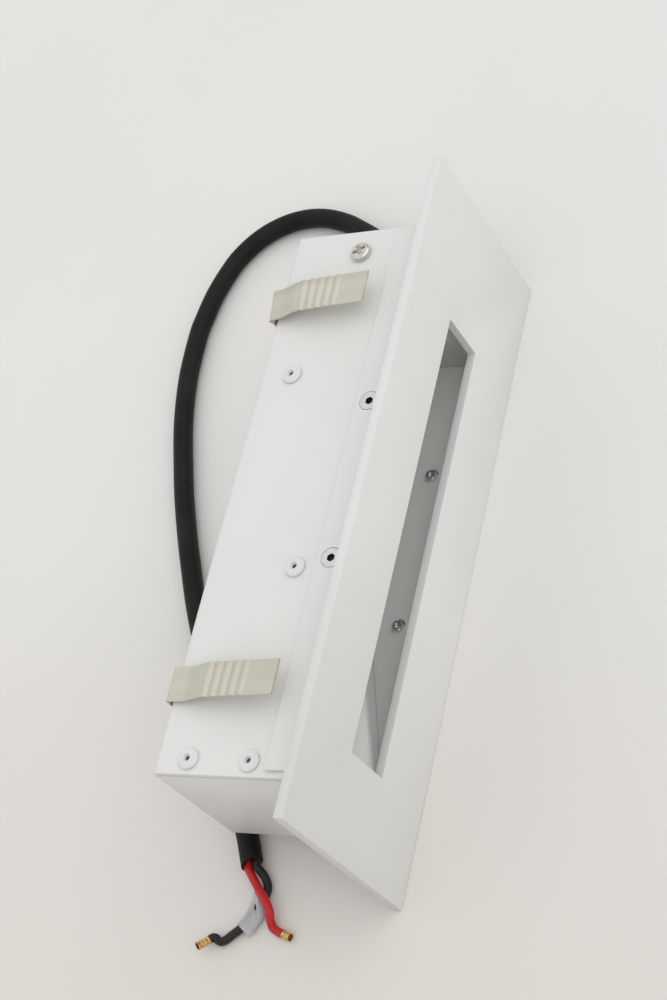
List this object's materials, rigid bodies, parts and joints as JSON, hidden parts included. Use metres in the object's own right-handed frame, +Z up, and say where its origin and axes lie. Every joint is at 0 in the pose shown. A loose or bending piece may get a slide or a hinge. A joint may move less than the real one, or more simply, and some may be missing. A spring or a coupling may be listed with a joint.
{
  "type": "recessed stair light",
  "caption": "Recessed wall or stair light: flat white face plate with a long slot, boxed sheet housing behind it, spring clips, and a loose rubber cable with bared wires.",
  "frame": {"origin": "middle of the face plate's back face, which lies on the wall", "axes": "+X along the light towards the cable end, +Y into the wall, +Z up"},
  "size_m": [0.2945, 0.1412, 0.0781],
  "materials": {
    "white_paint": "white powder coat, satin",
    "white_enamel": "white powder coat inside the light chamber, matt",
    "rivet_paint": "aluminium blind rivet under white paint",
    "nickel": "nickel-plated steel",
    "zinc": "zinc-plated steel",
    "spring_steel": "plain spring steel, slightly warm",
    "aluminium": "mill-finish aluminium",
    "board_white": "white solder mask",
    "clear_plastic": "clear acrylic",
    "pad_grey": "soft grey heat-transfer pad",
    "black_rubber": "black rubber, satin",
    "black_sleeve": "black insulation",
    "red_sleeve": "red insulation",
    "brass": "bare brass",
    "grey_plastic": "grey moulded plastic",
    "tie_plastic": "natural nylon",
    "marker_plastic": "translucent soft sleeve, bare"
  },
  "bodies": {
    "root": {"face_plate": "white_paint", "flange_top": "white_paint", "flange_bottom": "white_paint", "housing_shell": "white_paint", "end_cap_near": "white_paint", "end_cap_far": "white_paint", "reflector_tray": "white_enamel", "end_rivet_front_top": "rivet_paint", "end_rivet_back_top": "rivet_paint", "end_rivet_front_bottom": "rivet_paint", "end_rivet_back_bottom": "rivet_paint", "carrier_rivet_near": "rivet_paint", "carrier_rivet_far": "rivet_paint", "strap_rivet_near_upper": "rivet_paint", "strap_rivet_near_lower": "rivet_paint", "strap_rivet_far_upper": "rivet_paint", "strap_rivet_far_lower": "rivet_paint", "flange_screw_top_near": "nickel", "flange_screw_top_far": "nickel", "flange_screw_bottom_near": "nickel", "flange_screw_bottom_far": "nickel", "cap_screw_top": "nickel", "cap_screw_bottom": "nickel", "cover_screw_near": "nickel", "cover_screw_far": "nickel", "block_screw": "nickel", "cap_nut_top": "zinc", "cap_nut_bottom": "zinc", "clip_strap_near": "spring_steel", "clip_strap_far": "spring_steel", "led_carrier": "aluminium", "led_board": "board_white", "led_cover": "clear_plastic", "thermal_pad": "pad_grey", "strain_relief": "black_rubber", "inner_cable": "black_rubber", "supply_cable": "black_rubber", "tray_grommet": "black_rubber", "cable_tie": "tie_plastic", "terminal_block": "grey_plastic", "feed_wire_red": "red_sleeve", "board_wire_red": "red_sleeve", "wire_red": "red_sleeve", "feed_wire_black": "black_sleeve", "board_wire_black": "black_sleeve", "wire_black": "black_sleeve", "ferrule_red": "brass", "ferrule_black": "brass", "marker_sleeve": "marker_plastic"},
    "leaf_top_near": {"clip_leaf_top_near": "spring_steel"},
    "leaf_top_far": {"clip_leaf_top_far": "spring_steel"},
    "leaf_bottom_near": {"clip_leaf_bottom_near": "spring_steel"},
    "leaf_bottom_far": {"clip_leaf_bottom_far": "spring_steel"}
  },
  "joints": [
    {"name": "leaf_top_near_fold", "type": "hinge", "parent": "root", "child": "leaf_top_near", "pos_m": [-0.0695, 0.0556, 0.0252], "axis": [1, 0, 0], "range_deg": [0, 9], "stiffness_Nm_per_rad": 2},
    {"name": "leaf_top_far_fold", "type": "hinge", "parent": "root", "child": "leaf_top_far", "pos_m": [0.0695, 0.0556, 0.0252], "axis": [1, 0, 0], "range_deg": [0, 9], "stiffness_Nm_per_rad": 2},
    {"name": "leaf_bottom_near_fold", "type": "hinge", "parent": "root", "child": "leaf_bottom_near", "pos_m": [-0.0695, 0.0556, -0.0252], "axis": [-1, 0, 0], "range_deg": [0, 9], "stiffness_Nm_per_rad": 2},
    {"name": "leaf_bottom_far_fold", "type": "hinge", "parent": "root", "child": "leaf_bottom_far", "pos_m": [0.0695, 0.0556, -0.0252], "axis": [-1, 0, 0], "range_deg": [0, 9], "stiffness_Nm_per_rad": 2}
  ]
}
